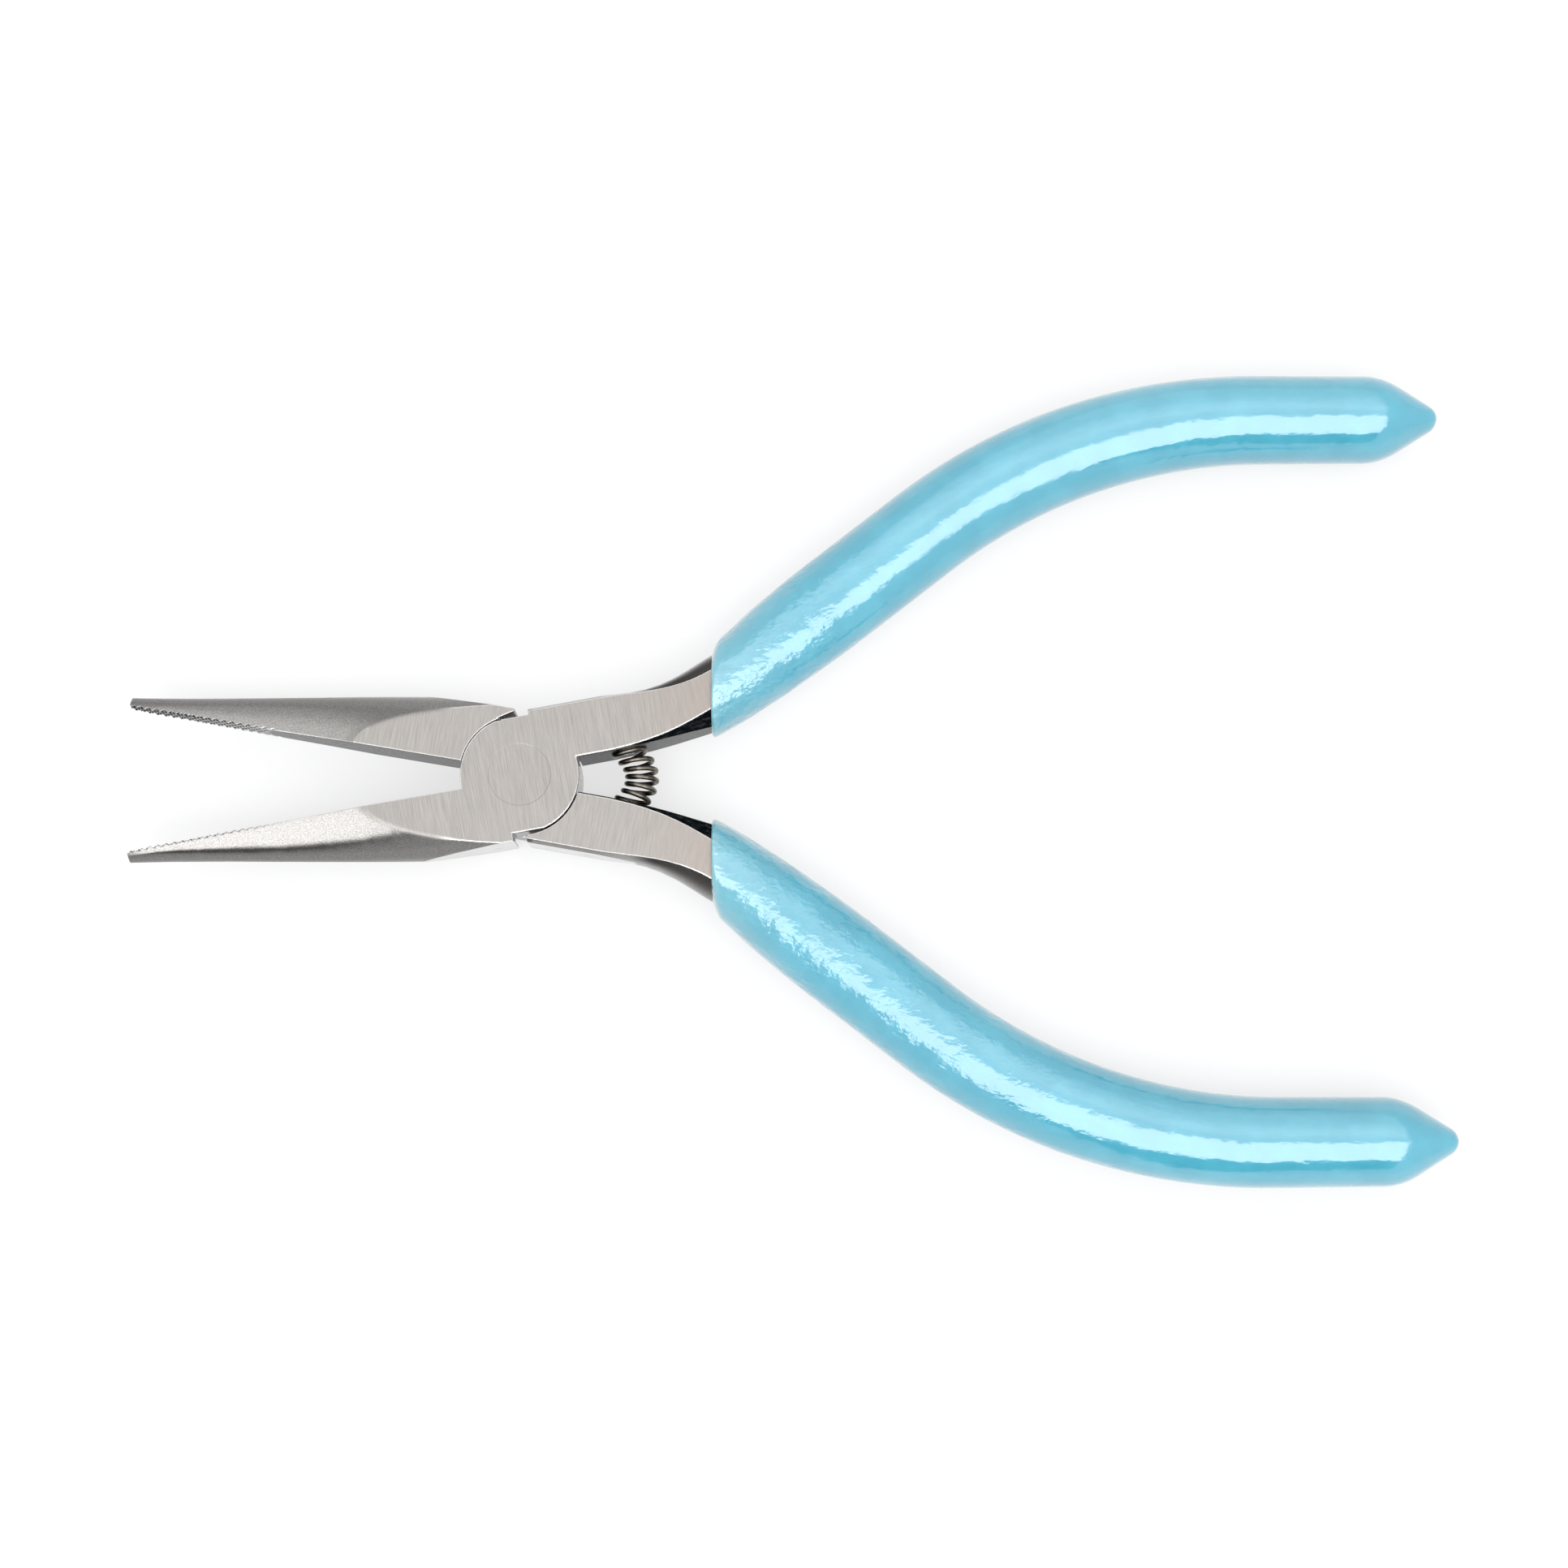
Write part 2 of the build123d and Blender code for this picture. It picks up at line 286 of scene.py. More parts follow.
GROUND_DARK = grey(0.178, 0.05)
GROUND_LIGHT = grey(0.264, 0.05)
GROUND_WARM = (0.245, 0.208, 0.185, 1.0)      # the handle's flats, towards the grips
BLASTED_DARK = grey(0.145, 0.03)
BLASTED_LIGHT = grey(0.245, 0.03)
# painted highlight for the edges and the lap's rim
EDGE_HIGHLIGHT_PAINT = grey(0.70, 0.01)
WIRE_DARK = (0.085, 0.075, 0.060, 1.0)
WIRE_LIGHT = (0.20, 0.18, 0.15, 1.0)
VINYL_DEEP = (0.041, 0.248, 0.335, 1.0)
VINYL_LIGHT = (0.052, 0.276, 0.365, 1.0)
# painted reflection along the grip's sides
VINYL_RIM_REFLECTION = (0.10, 0.24, 0.32, 1.0)
VINYL_MILKY_AND_LIP_HIGHLIGHT = (0.150, 0.33, 0.38, 1.0)        # where it is thin at the mouth, and a painted highlight on the lip
VINYL_RELIEF = 0.14                           # height of the ripples, in millimetres
PAPER_DARK = (0.190, 0.191, 0.193, 1.0)
PAPER_LIGHT = (0.200, 0.201, 0.203, 1.0)


def forging_place(shader, flipped):
    """Place in millimetres and normal, in the frame that both forgings are drawn in, closed."""
    source = shader.node("TexCoord")
    turned = []
    for output, kind in (("Object", "POINT"), ("Normal", "NORMAL")):
        turn = shader.node("Mapping", vector_type=kind)
        shader.put(turn.inputs["Vector"], source.outputs[output])
        turn.inputs["Rotation"].default_value = (pi if flipped else 0.0, 0.0, -HALF_OPEN)
        if kind == "POINT":
            turn.inputs["Scale"].default_value = (1 / MM, 1 / MM, 1 / MM)
            turn.inputs["Location"].default_value = (0.0, 0.0, JOINT_TOP if flipped else 0.0)
        turned.append(turn.outputs[0])
    return turned


# ---------------------------------------------------------------- materials
def ground_lines(shader, place):
    """The height and the colour of the fine lines that surface grinding leaves."""
    lines = shader.noise(place, 24.0, 4.0, 0.65, (1.0, 0.016, 0.3))
    broad = shader.noise(place, 11.0, 3.0, 0.6, (1.0, 0.025, 0.3))
    tone = shader.math("MULTIPLY_ADD", broad, 0.40, shader.math("MULTIPLY", lines, 0.60))
    return lines, shader.mix(shader.ramp(tone, 0.32, 0.68), GROUND_DARK, GROUND_LIGHT)


def forging_measures(s, flipped):
    """The places, facings and noises that a forging's zones and finishes are worked out from."""
    place, normal = forging_place(s, flipped)
    x, y, z = s.split(place)
    _, ny, nz = s.split(normal)
    at = SimpleNamespace(place=place, x=x, y=y, ny=ny)
    at.far_x = s.math("ABSOLUTE", x)
    at.far_y = s.math("ABSOLUTE", y)
    at.far_z = s.math("ABSOLUTE", s.math("SUBTRACT", z, JOINT_TOP / 2))
    at.facing_y = s.math("ABSOLUTE", ny)
    at.facing_z = s.math("ABSOLUTE", nz)
    from_axis = s.node("VectorMath", operation="LENGTH")
    s.put(from_axis.inputs[0], s.flattened(x, y))
    at.from_axis = from_axis.outputs["Value"]
    at.speckle = s.math("SUBTRACT", s.noise(place, 9.0, 3.0, 0.6), 0.5)
    at.pit = s.noise(place, 3.4, 4.0, 0.7, (0.8, 1.0, 1.6))
    at.mottle = s.noise(place, 0.9, 3.0, 0.6)
    at.grain = s.noise(place, 8.5, 3.0, 0.7)
    return at


def rounded_edges(s, at):
    """Edges are sharp at the teeth, lightly worn elsewhere and blended where a cone meets a flat. A
    painted highlight runs along the worn edges.
    """
    at.toothed = s.all_of(s.ramp(at.ny, 0.45, 0.60), s.ramp(at.x, *TEETH_X))
    on_cone = s.all_of(s.ramp(at.x, *CONE_X), s.ramp(at.y, *CONE_Y))
    edge = s.node("Bevel", samples=4)
    radius = s.math("MULTIPLY_ADD", on_cone, CONE_BLEND_RADIUS * MM, WORN_EDGE_RADIUS * MM)
    s.put(edge.inputs["Radius"], s.math("MULTIPLY", radius, s.math("SUBTRACT", 1.01, at.toothed)))
    at.rounded = edge.outputs[0]
    bend = s.node("VectorMath", operation="DOT_PRODUCT")
    s.put(bend.inputs[0], at.rounded)
    s.put(bend.inputs[1], s.node("NewGeometry").outputs["Normal"])
    at.worn = s.all_of(
        s.ramp(bend.outputs["Value"], 0.99, 0.95),
        s.math("SUBTRACT", 1.0, on_cone),
        s.ramp(at.from_axis, *EDGE_HIGHLIGHT_FROM_AXIS),
        s.ramp(at.x, *EDGE_HIGHLIGHT_X, 0.3, 1.0),
    )


def joint_zones(s, at):
    """A painted highlight on the rim of the round lap on the jaw's side, and painted shade in the notch
    beside the joint.
    """
    at.lap_rim = s.all_of(
        *(s.ramp(at.from_axis, *border) for border in LAP_RIM_FROM_AXIS),
        s.ramp(at.facing_z, 0.93, 0.85),
        s.ramp(at.x, *LAP_RIM_X),
    )
    at.notch = s.all_of(
        s.ramp(at.far_x, *NOTCH_X),
        *(s.ramp(at.far_y, *border) for border in NOTCH_Y),
        s.ramp(at.facing_z, 0.80, 0.60),
    )


def finish_zones(s, at):
    """Where each finish is, and where painted shade lies on the outer bevel, as masks from 0 to 1."""
    uneven_height = s.math("MULTIPLY_ADD", at.speckle, UNEVEN_BORDER, at.far_z)
    soft_up = s.math("ABSOLUTE", s.split(at.rounded)[2])
    at.flat = s.all_of(s.ramp(uneven_height, *FLAT_HEIGHT), s.ramp(soft_up, 0.90, 0.985))
    at.side = s.all_of(
        s.ramp(at.facing_y, *SQUARELY_FACING),
        s.ramp(at.far_x, *SIDE_X),
        s.ramp(at.far_y, *SIDE_Y),
    )
    at.jaw_face = s.all_of(s.ramp(at.ny, *FACING), s.ramp(at.x, *JAW_FACE_X))
    inward = s.math("MULTIPLY", at.ny, -1.0)
    at.inner = s.all_of(
        s.ramp(inward, *FACING),
        s.ramp(at.x, *INNER_WALL_X),
        s.ramp(at.y, *INNER_WALL_Y),
    )
    at.skin = s.all_of(
        s.ramp(inward, *PARTLY_FACING),
        s.ramp(inward, 0.97, 0.90),
        s.ramp(at.x, *SKIN_X),
        s.ramp(at.y, *SKIN_Y),
    )
    # painted shade on the outer bevel, darker away from mid height
    at.outer = s.all_of(
        s.ramp(at.ny, *PARTLY_FACING),
        s.ramp(at.x, *OUTER_BEVEL_X),
        s.ramp(at.far_z, *OUTER_BEVEL_HEIGHT, 0.0, 0.85),
    )


def inner_faces(s, at, colour):
    """Plain ground steel with dark pits, with painted shade in a dark band under the jaw's rim and on the
    inner walls near the joint, mottled there by noise.
    """
    pitted = s.mix(s.ramp(at.pit, 0.57, 0.66), grey(0.27, -0.02), grey(0.015))
    pitted = s.mix(s.ramp(at.mottle, 0.40, 0.75, 0.0, 0.45), pitted, grey(0.15))
    colour = s.mix(s.any_of(at.jaw_face, at.inner), colour, pitted)
    rim_height = s.math("MINIMUM", s.math("MULTIPLY_ADD", at.x, *JAW_HALF_HEIGHT), JOINT_TOP / 2)
    to_rim = s.math("SUBTRACT", rim_height, at.far_z)
    # painted shade: a dark band just under the jaw's rim
    colour = s.mix(s.all_of(at.jaw_face, s.ramp(to_rim, *SHADE_BAND_BELOW_RIM, 0.0, 0.9)), colour, grey(0.03))
    # painted shade on the inner walls near the joint, mottled by the pit noise
    painted_joint_shade = s.all_of(at.inner, s.ramp(at.x, *JOINT_SHADE_X), s.ramp(at.pit, 0.30, 0.56, 0.35, 0.95))
    return s.mix(painted_joint_shade, colour, grey(0.05))


def forged_skin(s, at, colour):
    """Dark forging scale on the handle's inner bevel, and painted shade on the outer bevel."""
    scale = s.noise(at.place, 2.6, 5.0, 0.7, (0.5, 1.0, 1.0))
    oxide = s.mix(s.ramp(scale, 0.45, 0.72), grey(0.006, -0.2), grey(0.06, -0.05))
    return s.mix(at.outer, s.mix(at.skin, colour, oxide), grey(0.03, 0.05))


def polished_sides(s, at, colour):
    """The two short sides of the joint, ground along the tool and bright."""
    lines = s.noise(at.place, 9.0, 4.0, 0.6, (0.05, 1.0, 1.0))
    polished = s.mix(s.ramp(lines, 0.30, 0.70), grey(0.50, 0.01), grey(0.72, 0.01))
    polished = s.mix(s.ramp(at.mottle, 0.52, 0.70, 0.0, 0.4), polished, grey(0.30, 0.01))
    return s.mix(at.side, colour, polished)


def painted_tooth_light(s, at, colour):
    """Painted highlight on the crests and painted shade in the grooves, by the depth below the jaw's
    inner face.
    """
    depth = s.math("SUBTRACT", s.math("MULTIPLY_ADD", at.x, *JAW_FACE_LINE), at.y)
    return s.mix(at.toothed, colour, s.mix(s.ramp(depth, *GROOVE_DEPTH), grey(0.50), grey(0.006)))


def forging_steel(name, flipped):
    """Surface-ground flats, bead-blasted cones, bright ground sides and a dark forged skin, with painted
    highlights on the edges and teeth, and painted shade in the notch, the grooves, on the outer bevel and
    near the joint.
    """
    s = Shader(name)
    at = forging_measures(s, flipped)
    rounded_edges(s, at)
    joint_zones(s, at)
    finish_zones(s, at)

    lines, ground = ground_lines(s, at.place)
    ground = s.mix(s.ramp(at.x, *WARM_X, 0.0, 0.5), ground, GROUND_WARM)
    colour = s.mix(s.ramp(at.grain, 0.30, 0.70), BLASTED_DARK, BLASTED_LIGHT)
    colour = inner_faces(s, at, colour)
    colour = forged_skin(s, at, colour)
    colour = polished_sides(s, at, colour)
    colour = s.mix(at.flat, colour, ground)
    # painted highlights along the edges and on the lap's rim
    colour = s.mix(s.any_of(at.worn, at.lap_rim), colour, EDGE_HIGHLIGHT_PAINT)
    # painted shade in the notch beside the joint
    colour = s.mix(at.notch, colour, grey(0.015))
    s.put(s.surface.inputs["Base Color"], painted_tooth_light(s, at, colour))
    s.surface.inputs["Metallic"].default_value = 1.0
    dull = s.any_of(at.inner, at.jaw_face, at.skin, at.outer)
    s.put(s.surface.inputs["Specular Tint"], s.mix(dull, grey(1.0), grey(0.42)))

    rough = s.ramp(at.flat, 0.0, 1.0, 0.17, 0.33)
    rough = s.math("MULTIPLY_ADD", at.speckle, 0.12, rough)
    rough = s.math("MULTIPLY_ADD", at.skin, 0.25, rough)
    rough = s.math("MULTIPLY_ADD", at.worn, -0.10, rough, clamp=True)
    s.put(s.surface.inputs["Roughness"], rough)

    blasted = s.math("SUBTRACT", 1.0, s.any_of(at.flat, at.side))
    relief = s.math("MULTIPLY", s.all_of(at.grain, blasted), 0.15)
    relief = s.math("MULTIPLY_ADD", lines, at.flat, relief)
    sunk = s.all_of(s.any_of(at.inner, at.jaw_face), s.ramp(at.pit, 0.55, 0.70))
    relief = s.math("SUBTRACT", relief, sunk)
    s.put(s.surface.inputs["Normal"], s.bump(relief, STEEL_RELIEF * MM, 1.0, at.rounded))
    return s.material


def rivet_steel():
    """The rivet is ground flush with the joint, so its ends carry the same lines."""
    s = Shader("rivet_ground_steel")
    place, _ = forging_place(s, False)
    lines, ground = ground_lines(s, place)
    s.put(s.surface.inputs["Base Color"], ground)
    s.surface.inputs["Metallic"].default_value = 1.0
    speckle = s.noise(place, 9.0, 3.0, 0.6)
    s.put(s.surface.inputs["Roughness"], s.ramp(speckle, 0.2, 0.8, 0.28, 0.38))
    s.put(s.surface.inputs["Normal"], s.bump(lines, STEEL_RELIEF * MM))
    return s.material


def spring_steel():
    """Oil-darkened spring wire with faint drawing lines."""
    s = Shader("spring_wire")
    place, _ = forging_place(s, False)
    cloud = s.noise(place, 1.6, 3.0, 0.6)
    fine = s.noise(place, 22.0, 2.0, 0.6)
    tone = s.mix(s.ramp(cloud, 0.35, 0.70), WIRE_DARK, WIRE_LIGHT)
    s.put(s.surface.inputs["Base Color"], tone)
    s.surface.inputs["Metallic"].default_value = 1.0
    s.put(s.surface.inputs["Roughness"], s.ramp(fine, 0.25, 0.75, 0.20, 0.34))
    s.put(s.surface.inputs["Normal"], s.bump(fine, 0.006 * MM))
    return s.material


def dipped_vinyl(name, flipped, ripple_end):
    """Glossy light blue vinyl, cloudy with depth, with the ripples that dipping leaves, a painted
    reflection along its sides and a painted highlight on its lip.
    """
    s = Shader(name)
    place, normal = forging_place(s, flipped)
    x = s.split(place)[0]
    up = s.split(normal)[2]
    cloud = s.noise(place, 0.30, 3.0, 0.5)
    body = s.mix(s.ramp(cloud, 0.35, 0.68), VINYL_DEEP, VINYL_LIGHT)
    # painted reflection where the skin turns away from straight up
    rim = s.ramp(s.math("ABSOLUTE", up), 0.50, 0.10, 0.0, 0.4)
    body = s.mix(rim, body, VINYL_RIM_REFLECTION)
    from_mouth = s.split(s.node("TexCoord").outputs["Object"])[0]
    # a painted highlight on the lip; the wider milky band is the thin vinyl's own colour
    lip = s.ramp(from_mouth, (MOUTH_X + 1.2) * MM, MOUTH_X * MM, 0.0, 0.5)
    milky = s.ramp(from_mouth, (MOUTH_X + 9.0) * MM, MOUTH_X * MM, 0.0, 0.35)
    s.put(s.surface.inputs["Base Color"], s.mix(s.math("ADD", lip, milky), body, VINYL_MILKY_AND_LIP_HIGHLIGHT))
    s.surface.inputs["Roughness"].default_value = 0.18
    s.surface.inputs["IOR"].default_value = 1.52
    s.surface.inputs["Subsurface Weight"].default_value = 0.25
    s.surface.inputs["Subsurface Radius"].default_value = (0.5, 1.0, 1.2)
    s.surface.inputs["Subsurface Scale"].default_value = 0.6 * MM
    s.surface.inputs["Coat Weight"].default_value = 1.0
    s.surface.inputs["Coat Roughness"].default_value = 0.03
    s.surface.inputs["Coat IOR"].default_value = 1.68
    swell = s.noise(place, 0.8, 2.0, 0.5, (0.6, 1.0, 1.0))
    ripple = s.noise(place, 1.6, 3.0, 0.5, (0.7, 1.0, 1.0))
    near_mouth = s.ramp(x, 24.0, ripple_end, 1.0, 0.15)
    patchy = s.ramp(s.noise(place, 0.22, 2.0, 0.5), 0.40, 0.60, 0.35, 1.0)
    height = s.math("MULTIPLY", s.all_of(near_mouth, patchy, ripple), 1.25)
    height = s.math("MULTIPLY_ADD", swell, s.math("MULTIPLY_ADD", near_mouth, 0.6, 0.25), height)
    relief = s.bump(height, VINYL_RELIEF * MM)
    s.put(s.surface.inputs["Normal"], relief)
    s.put(s.surface.inputs["Coat Normal"], relief)
    return s.material


def floor_paper():
    """Plain white paper on a light table, with a barely visible tooth."""
    s = Shader("white_paper")
    place = s.node("TexCoord").outputs["Object"]
    tooth = s.noise(place, 900.0, 2.0, 0.5)
    s.put(s.surface.inputs["Base Color"], s.mix(tooth, PAPER_DARK, PAPER_LIGHT))
    s.surface.inputs["Emission Color"].default_value = (1.0, 1.0, 1.0, 1.0)
    s.surface.inputs["Emission Strength"].default_value = 0.65
    s.surface.inputs["Roughness"].default_value = 0.9
    return s.material


# ---------------------------------------------------------------- geometry
def half_frame(flipped):
    """From the forging's closed frame in millimetres to the open tool in metres."""
    place = Matrix.Rotation(-HALF_OPEN if flipped else HALF_OPEN, 4, "Z")
    if flipped:
        place = place @ Matrix.Translation((0, 0, JOINT_TOP)) @ Matrix.Rotation(pi, 4, "X")
    return Matrix.Scale(MM, 4) @ place


def handle_line(distance):
    """Place and heading on the handle line, this far along it."""
    x, y = LINE_START
    heading = LINE_HEADING
    for length, radius, side in (
        (RISE_RADIUS * RISE_TURN, RISE_RADIUS, 1),
        (STRAIGHT, None, 0),
        (PALM_RADIUS * PALM_TURN, PALM_RADIUS, -1),
        (END_STRAIGHT, None, 0),
    ):
        step = min(distance, length)
        if radius is None:
            x += step * cos(heading)
            y += step * sin(heading)
        else:
            turned = heading + side * step / radius
            x += side * radius * (sin(turned) - sin(heading))
            y -= side * radius * (cos(turned) - cos(heading))
            heading = turned
        distance -= step
    return Vector((x, y, JOINT_TOP / 2)), heading


def mouth_distance():
    """How far along the handle line the grip's mouth crosses it."""
    low, high = 0.0, 2 * FLARE_LENGTH
    for _ in range(40):
        middle = (low + high) / 2
        place = Matrix.Rotation(HALF_OPEN, 3, "Z") @ handle_line(middle)[0]
        low, high = (middle, high) if place.x < MOUTH_X else (low, middle)
    return low


def grip_half_size(distance):
    """Half width and half thickness of a grip, this far along the handle line."""
    flare = 2 * smooth(0.5 + distance / FLARE_LENGTH / FLARE_SOFTNESS) - 1
    taper = smooth((distance - TAPER_START) / (LINE_LENGTH - NOSE_LENGTH - TAPER_START))
    width = MOUTH_HALF_WIDTH + (GRIP_HALF_WIDTH - MOUTH_HALF_WIDTH) * flare
    width -= (GRIP_HALF_WIDTH - GRIP_END_HALF_WIDTH) * taper
    left = max(0.0, LINE_LENGTH - distance)
    steepness = sqrt(1 + NOSE_CONE_SLOPE**2)
    tangent = NOSE_TIP_RADIUS * (1 - NOSE_CONE_SLOPE / steepness)
    if left < tangent:
        nose = sqrt(NOSE_TIP_RADIUS**2 - (NOSE_TIP_RADIUS - left) ** 2)
    else:
        nose = NOSE_TIP_RADIUS / steepness + NOSE_CONE_SLOPE * (left - tangent)
    if left < 2 * NOSE_LENGTH:
        nose = soft_min(nose, width, NOSE_SHOULDER)
    nose = min(nose, width)
    return nose, GRIP_HALF_THICKNESS * (nose / width) ** NOSE_THICKNESS_POWER


def grip_point(distance, inset, turn, start):
    """A point of a grip's skin; near the mouth its sections lean into the mouth's plane."""
    centre, heading = handle_line(distance)
    along = Vector((cos(heading), sin(heading), 0))
    across = Vector((-sin(heading), cos(heading), 0))
    lean = tan(handle_line(start)[1] + HALF_OPEN) * (1 - smooth((distance - start) / SLANT_LENGTH))
    half_width, half_thickness = grip_half_size(distance)
    reach = (half_width - inset) * cos(turn)
    rise = (half_thickness - inset) * sin(turn)
    return centre + (across + along * lean) * reach + Vector((0, 0, rise))


def lip_radius(turn):
    """The mouth is rolled widely on the grip's outer side and tightly above and below."""
    return LIP_RADIUS + LIP_SIDE_RADIUS * cos(turn) ** 2 + LIP_OUTER_RADIUS * cos(turn)


def mesh_piece(name, rings, start_point, end_point):
    """A tube of quads through the rings, closed to a point at each end."""
    count = len(rings[0])
    points = [point for ring in rings for point in ring]
    faces = []
    for row in range(len(rings) - 1):
        for step in range(count):
            after = (step + 1) % count
            a, b = row * count, (row + 1) * count
            faces.append((a + step, a + after, b + after, b + step))
    last_ring = (len(rings) - 1) * count
    points += [start_point, end_point]
    for step in range(count):
        after = (step + 1) % count
        faces.append((after, step, len(points) - 2))
        faces.append((last_ring + step, last_ring + after, len(points) - 1))
    mesh = bpy.data.meshes.new(name)
    mesh.from_pydata([tuple(point) for point in points], [], faces)
    mesh.validate()
    mesh.shade_smooth()
    made = bpy.data.objects.new(name, mesh)
    bpy.context.scene.collection.objects.link(made)
    return made


def build_grip(name, flipped, ripple_end):
    """A dipped grip: a rolled lip at the mouth, a long soft body and a blunt conical nose."""
    start = mouth_distance()
    turns = [2 * pi * step / GRIP_RING for step in range(GRIP_RING)]
    rings = []
    for step in range(LIP_STEPS):
        roll = pi / 2 * (1 - step / LIP_STEPS)
        ahead, inset = 1 - sin(roll), 1 - cos(roll)
        rings.append([
            grip_point(start + lip_radius(turn) * ahead, lip_radius(turn) * inset, turn, start)
            for turn in turns
        ])
    mouth_centre = sum(rings[0], Vector()) / GRIP_RING
    lip = rings[0]
    for share in (0.8, 0.5):
        rings.insert(0, [mouth_centre + (point - mouth_centre) * share for point in lip])
    body_end = LINE_LENGTH - NOSE_LENGTH
    for step in range(BODY_STEPS):
        distance = start + (body_end - start) * step / BODY_STEPS
        fade = max(0.0, 1 - (distance - start) / SLANT_LENGTH)
        rings.append([grip_point(distance + lip_radius(turn) * fade, 0, turn, start) for turn in turns])
    for step in range(NOSE_STEPS):
        distance = body_end + NOSE_LENGTH * sin(pi / 2 * step / NOSE_STEPS)
        rings.append([grip_point(distance, 0, turn, start) for turn in turns])
    grip = mesh_piece(name, rings, mouth_centre, handle_line(LINE_LENGTH)[0])
    grip.data.transform(half_frame(flipped))
    grip.data.update()
    grip.data.materials.append(dipped_vinyl(name + "_vinyl", flipped, ripple_end))
    return grip


def spring_centre(y):
    """Centre of the coils and their lean, at this place across the tool."""
    mouth = Matrix.Rotation(HALF_OPEN, 2) @ Vector((SPRING_SEAT_X, SPRING_MOUTH))
    if abs(y) > mouth.y:
        x = mouth.x - (abs(y) - mouth.y) * tan(HALF_OPEN)
    else:
        x = mouth.x + SPRING_BOW * (1 - (y / mouth.y) ** 2)
    return x, SPRING_END_LEAN * max(-1.0, min(1.0, y / mouth.y))


def build_spring():
    """A helix of round wire, straight in its two seats and bowed out between them."""
    floor_place = Matrix.Rotation(HALF_OPEN, 2) @ Vector((SPRING_SEAT_X, SPRING_FLOOR))
    steps = round(SPRING_TURNS * SPRING_TURN_STEPS)

    def wire_point(step):
        turn = 2 * pi * step / SPRING_TURN_STEPS
        y = floor_place.y * (2 * step / steps - 1)
        x, lean = spring_centre(y)
        reach = SPRING_RADIUS * cos(turn)
        place = (x + reach * cos(lean), y + reach * sin(lean), JOINT_TOP / 2 + SPRING_RADIUS * sin(turn))
        return Vector(place), Vector((x, y, JOINT_TOP / 2))

    rings = []
    for step in range(steps + 1):
        place, centre = wire_point(step)
        along = (wire_point(step + 1)[0] - wire_point(step - 1)[0]).normalized()
        out = (place - centre - along * (place - centre).dot(along)).normalized()
        side = along.cross(out)
        ring = []
        for corner in range(SPRING_WIRE_SIDES):
            turn = 2 * pi * corner / SPRING_WIRE_SIDES
            ring.append((place + (out * cos(turn) + side * sin(turn)) * SPRING_WIRE_RADIUS) * MM)
        rings.append(ring)
    ends = [wire_point(0)[0] * MM, wire_point(steps)[0] * MM]
    spring = mesh_piece("return_spring_coil", rings, *ends)
    spring.data.materials.append(spring_steel())
    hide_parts("return_spring")
    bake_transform(spring)
    return spring


# ---------------------------------------------------------------- the object
for node, flipped in (("front_half", False), ("back_half", True)):
    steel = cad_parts[node]
    for slot in steel.material_slots:
        slot.material = forging_steel(node + "_steel", flipped)
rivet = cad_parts["pivot_rivet"]
for slot in rivet.material_slots:
    slot.material = rivet_steel()

build_spring()
for side, flipped, ripple_end in (("front", False, 40.0), ("back", True, 75.0)):
    grip = build_grip(side + "_dipped_grip", flipped, ripple_end)
    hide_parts(side + "_grip")
    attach(grip, side)


# ---------------------------------------------------------------- the set
def build_floor():
    """A wide sheet of white paper under the grips."""
    size = 30.0
    mesh = bpy.data.meshes.new("floor")
    corners = [(-size, -size), (size, -size), (size, size), (-size, size)]
    mesh.from_pydata([(x, y, cad_low.z) for x, y in corners], [], [(0, 1, 2, 3)])
    floor = bpy.data.objects.new("floor", mesh)
    bpy.context.scene.collection.objects.link(floor)
    floor.data.materials.append(floor_paper())


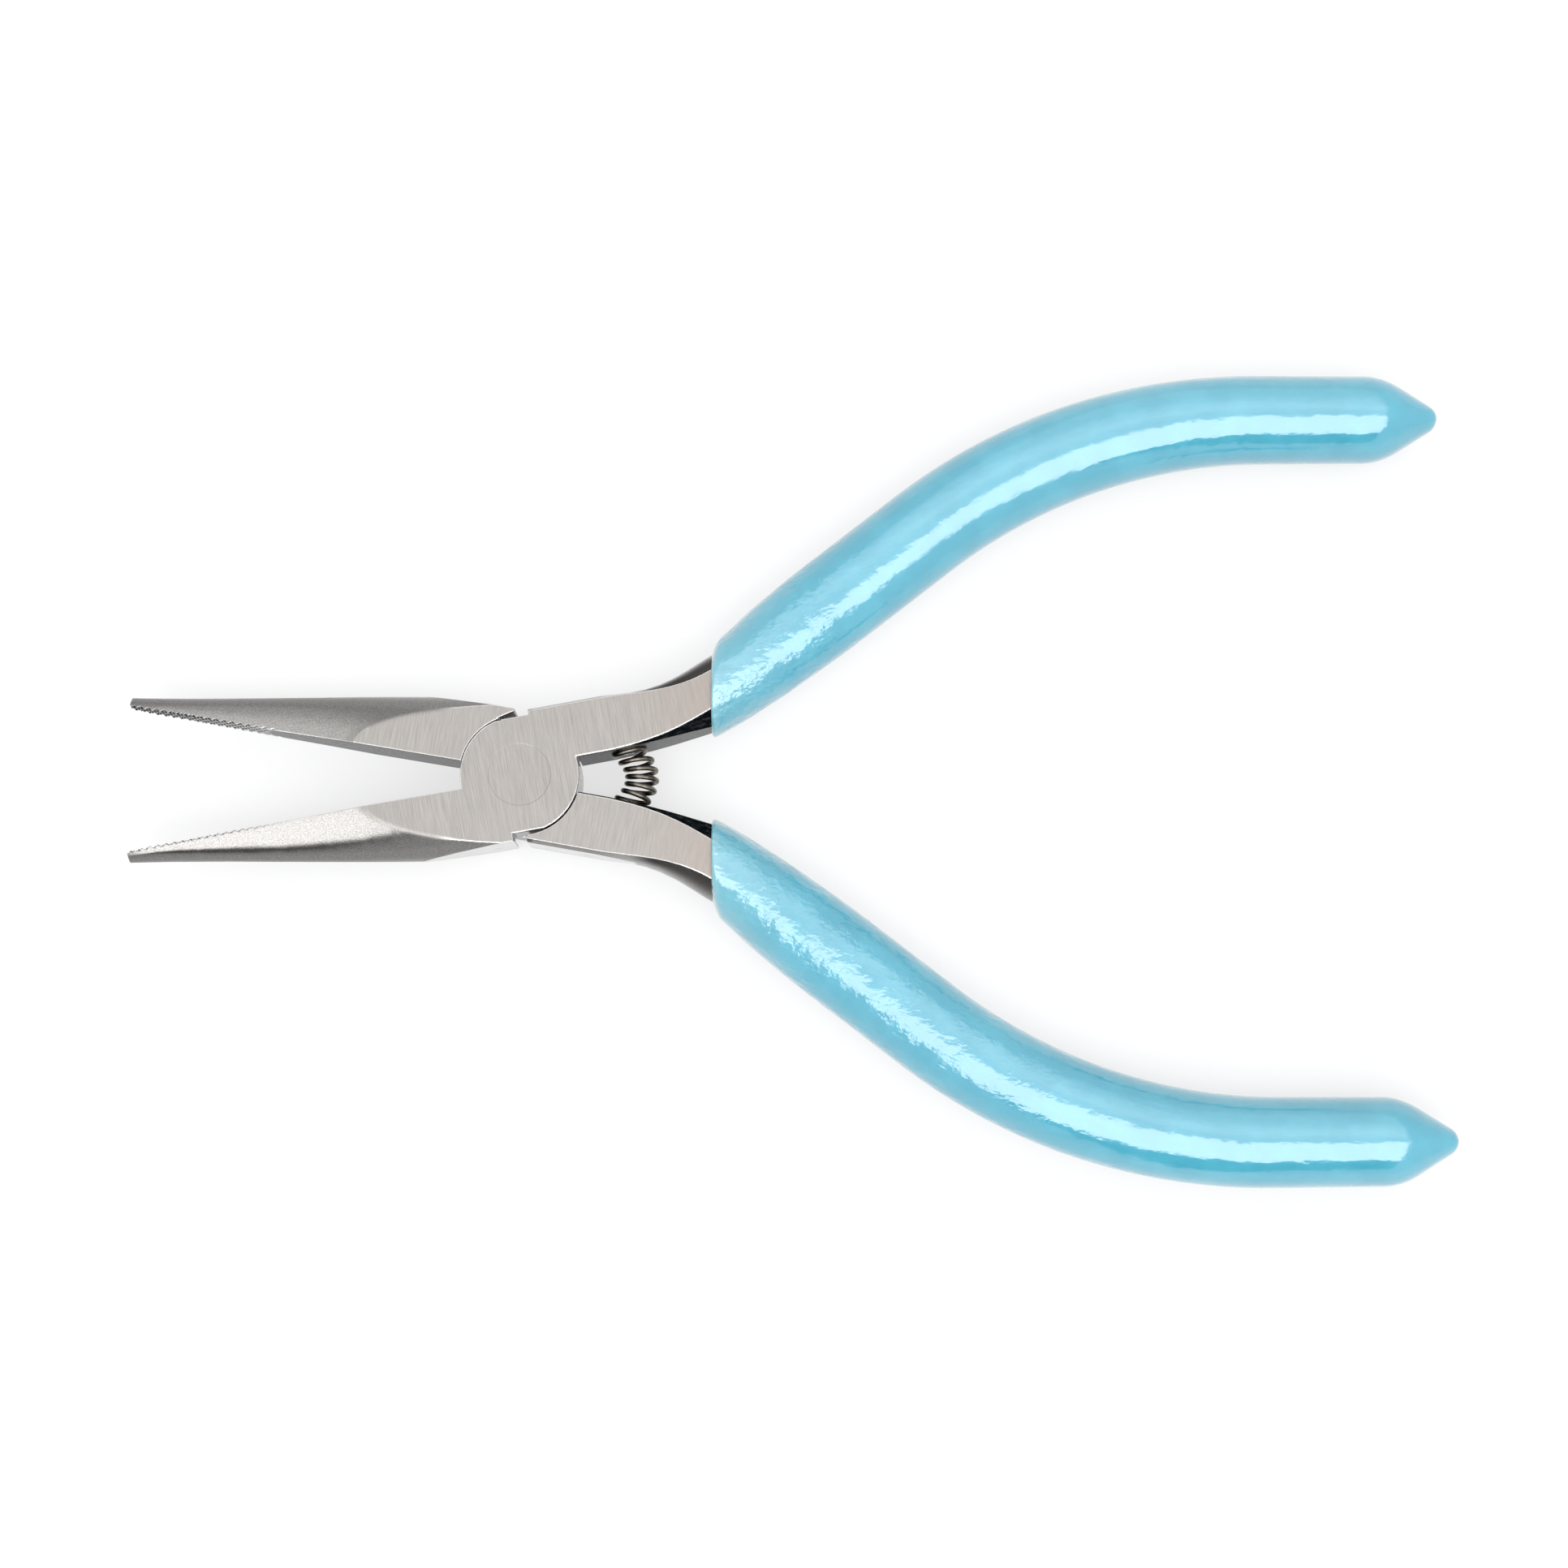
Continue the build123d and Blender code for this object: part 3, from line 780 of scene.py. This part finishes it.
def build_tent():
    """A light tent: a large softbox above the near side, white paper all round and a dark near wall."""
    world = bpy.data.worlds.new("tent")
    world.use_nodes = True
    tree = world.node_tree

    def add(kind, *values, **settings):
        made = tree.nodes.new("ShaderNode" + kind)
        for key, value in settings.items():
            setattr(made, key, value)
        for socket, value in zip(made.inputs, values):
            if isinstance(value, bpy.types.NodeSocket):
                tree.links.new(value, socket)
            else:
                socket.default_value = value
        return made

    def blend(share, a, b):
        made = tree.nodes.new("ShaderNodeMix")
        made.data_type = "RGBA"
        tree.links.new(share, made.inputs[0])
        tree.links.new(a, made.inputs[6])
        made.inputs[7].default_value = grey(b / SOFTBOX_LIGHT)
        return made.outputs[2]

    direction = add("TexCoord").outputs["Generated"]
    x, y, z = add("SeparateXYZ", direction).outputs
    near = add("Math", y, -1.0, operation="MULTIPLY").outputs[0]
    toward = add("Math", near, z, operation="ARCTAN2").outputs[0]
    aside = add("Math", x, z, operation="ARCTAN2").outputs[0]
    place = add("MapRange", toward, -pi / 2, pi / 2, 0.0, 1.0).outputs[0]
    ramp = add("ValToRGB", place)
    stops = ramp.color_ramp.elements
    for stop, (degrees, light) in zip((stops[0], stops[1]), (TENT_PROFILE[0], TENT_PROFILE[-1])):
        stop.position = (degrees + 90) / 180
        stop.color = grey(light / SOFTBOX_LIGHT)
    for degrees, light in TENT_PROFILE[1:-1]:
        stops.new((degrees + 90) / 180).color = grey(light / SOFTBOX_LIGHT)
    tent = ramp.outputs[0]
    for wall in SIDE_WALL_ANGLES:
        tent = blend(add("MapRange", aside, *wall, 0.0, 1.0).outputs[0], tent, SIDE_WALL_LIGHT)
    low = add("MapRange", z, 0.10, 0.05, 0.0, 1.0).outputs[0]
    tree.links.new(blend(low, tent, HORIZON_LIGHT), tree.nodes["Background"].inputs["Color"])
    tree.nodes["Background"].inputs["Strength"].default_value = SOFTBOX_LIGHT
    bpy.context.scene.world = world


def build_camera():
    """High above the tool, leaning back a little towards the near side."""
    lens = bpy.data.cameras.new("camera")
    lens.lens = CAMERA_LENS
    lens.clip_start = 0.01
    lens.clip_end = 20
    camera = bpy.data.objects.new("camera", lens)
    camera.rotation_euler = (CAMERA_TILT, CAMERA_YAW, CAMERA_ROLL)
    camera.location = Vector(CAMERA_PLACE) * MM
    bpy.context.scene.collection.objects.link(camera)
    bpy.context.scene.camera = camera


build_floor()
build_tent()
build_camera()
bpy.context.scene.view_settings.view_transform = "Standard"
